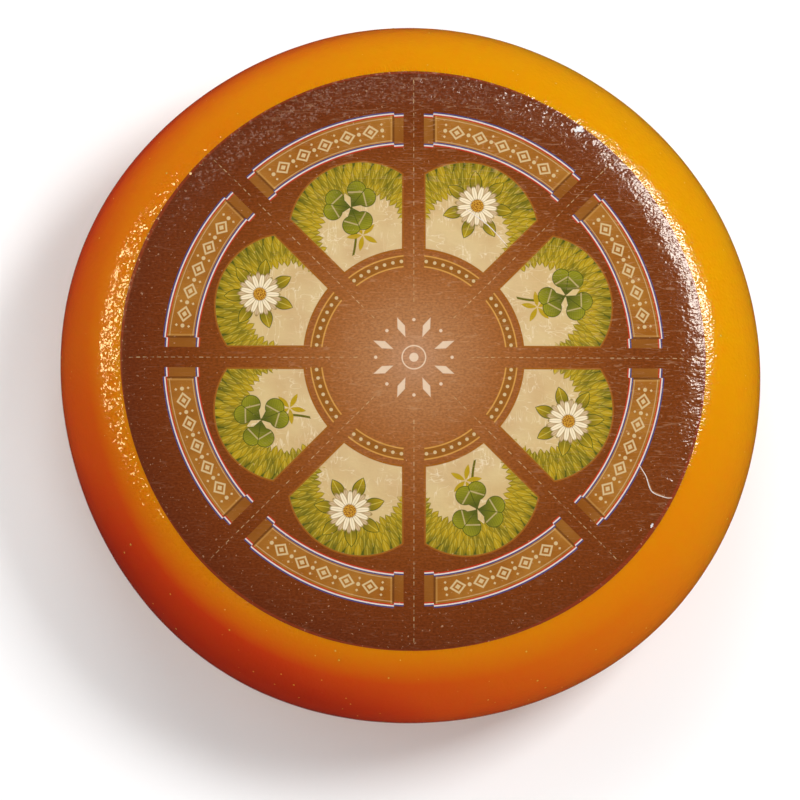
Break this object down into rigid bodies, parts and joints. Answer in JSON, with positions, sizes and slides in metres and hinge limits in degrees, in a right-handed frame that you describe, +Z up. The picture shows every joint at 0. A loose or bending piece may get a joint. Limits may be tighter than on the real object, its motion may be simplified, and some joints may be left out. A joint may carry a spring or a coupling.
{
  "type": "cheese wheel",
  "caption": "Whole flat round wheel of hard cheese with a smooth coated rind, a bulging side and a round printed label on its upper face.",
  "frame": {"origin": "on the surface that the wheel lies on, under the middle of the wheel", "axes": "+Z up along the wheel's own axis, out of the labelled face; +X and +Y across the wheel, with +Y the way that the top of the pictured face points"},
  "size_m": [0.3492, 0.3494, 0.1107],
  "materials": {
    "rind": "orange-yellow cheese rind under a clear satin coating, with fine orange-peel dimples",
    "label": "printed film label, brown with green, cream and gold fields, satin and finely wrinkled"
  },
  "bodies": {
    "root": {"rind": "rind", "label": "label"}
  },
  "joints": []
}
